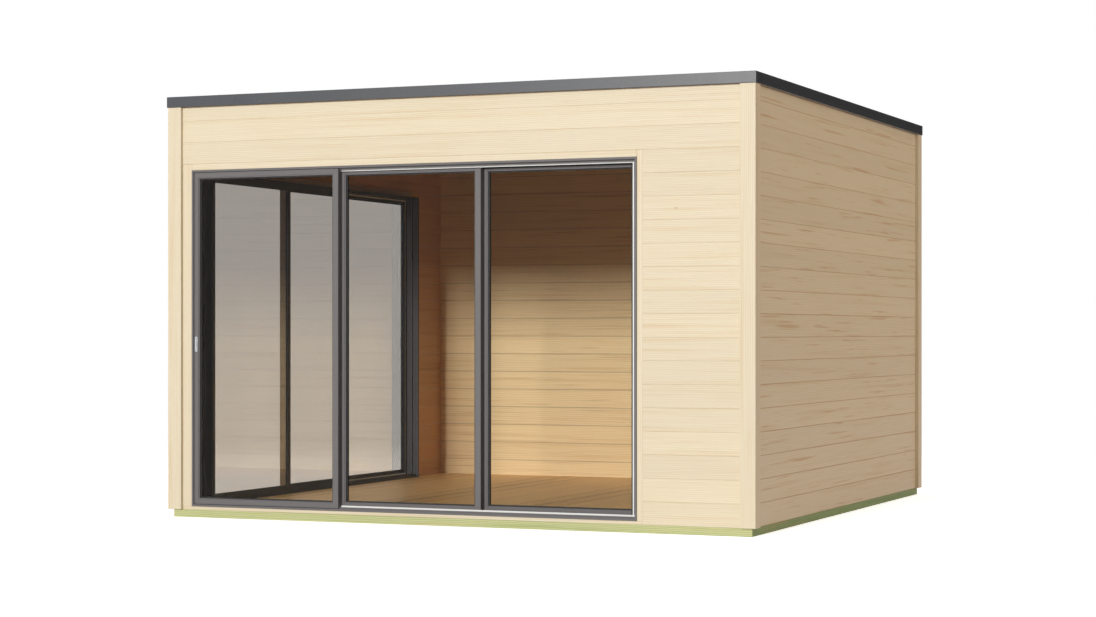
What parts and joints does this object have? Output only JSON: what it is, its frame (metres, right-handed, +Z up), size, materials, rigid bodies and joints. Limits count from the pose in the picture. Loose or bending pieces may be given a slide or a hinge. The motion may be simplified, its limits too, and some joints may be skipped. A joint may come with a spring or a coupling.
{
  "type": "garden office pod",
  "caption": "Square flat-roofed timber garden room with board walls, corner posts, a dark roof fascia and sliding glass doors in the front and left walls.",
  "frame": {"origin": "centre of the plan at ground level, under the base beams", "axes": "+Z up, -Y out of the front door, +X to the right seen from the front"},
  "size_m": [3.61, 3.61, 2.455],
  "materials": {
    "wall_wood": "planed pale spruce",
    "treated_wood": "green pressure-treated timber",
    "floor_wood": "planed spruce floor boards",
    "roof_wood": "sawn spruce",
    "membrane": "matt roof membrane",
    "fascia_metal": "satin anthracite powder coat",
    "door_metal": "satin anthracite powder coat",
    "lock_metal": "brushed",
    "glass": "clear toughened glass"
  },
  "bodies": {
    "room": {"base_beams_front_back": "treated_wood", "base_beams_sides": "treated_wood", "floor_joists": "treated_wood", "floor_boards": "floor_wood", "post_front_left": "wall_wood", "post_front_right": "wall_wood", "post_back_left": "wall_wood", "post_back_right": "wall_wood", "back_wall": "wall_wood", "right_wall": "wall_wood", "front_wall": "wall_wood", "front_header": "wall_wood", "front_sill_board": "wall_wood", "front_door_studs": "wall_wood", "front_head_trim": "wall_wood", "left_wall": "wall_wood", "left_header": "wall_wood", "left_sill_board": "wall_wood", "left_door_studs": "wall_wood", "left_head_trim": "wall_wood", "roof_joists": "roof_wood", "roof_deck": "roof_wood", "roof_membrane": "membrane", "fascia_front_back": "fascia_metal", "fascia_sides": "fascia_metal", "front_door_sill": "door_metal", "front_door_head": "door_metal", "front_door_jambs": "door_metal", "front_right_panel": "door_metal", "front_right_glass": "glass", "left_door_sill": "door_metal", "left_door_head": "door_metal", "left_door_jambs": "door_metal", "left_front_panel": "door_metal", "left_front_glass": "glass"},
    "front_left_door": {"front_left_panel": "door_metal", "front_left_glass": "glass", "front_door_lock": "lock_metal"},
    "front_middle_door": {"front_middle_panel": "door_metal", "front_middle_glass": "glass"},
    "left_rear_door": {"left_rear_panel": "door_metal", "left_rear_glass": "glass", "left_door_lock": "lock_metal"},
    "left_middle_door": {"left_middle_panel": "door_metal", "left_middle_glass": "glass"}
  },
  "joints": [
    {"name": "front_left_slide", "type": "slide", "parent": "room", "child": "front_left_door", "axis": [1, 0, 0], "range_m": [0, 1.8]},
    {"name": "front_middle_slide", "type": "slide", "parent": "room", "child": "front_middle_door", "axis": [1, 0, 0], "range_m": [0, 0.93]},
    {"name": "left_rear_slide", "type": "slide", "parent": "room", "child": "left_rear_door", "axis": [0, -1, 0], "range_m": [0, 1.8]},
    {"name": "left_middle_slide", "type": "slide", "parent": "room", "child": "left_middle_door", "axis": [0, -1, 0], "range_m": [0, 0.93]}
  ]
}
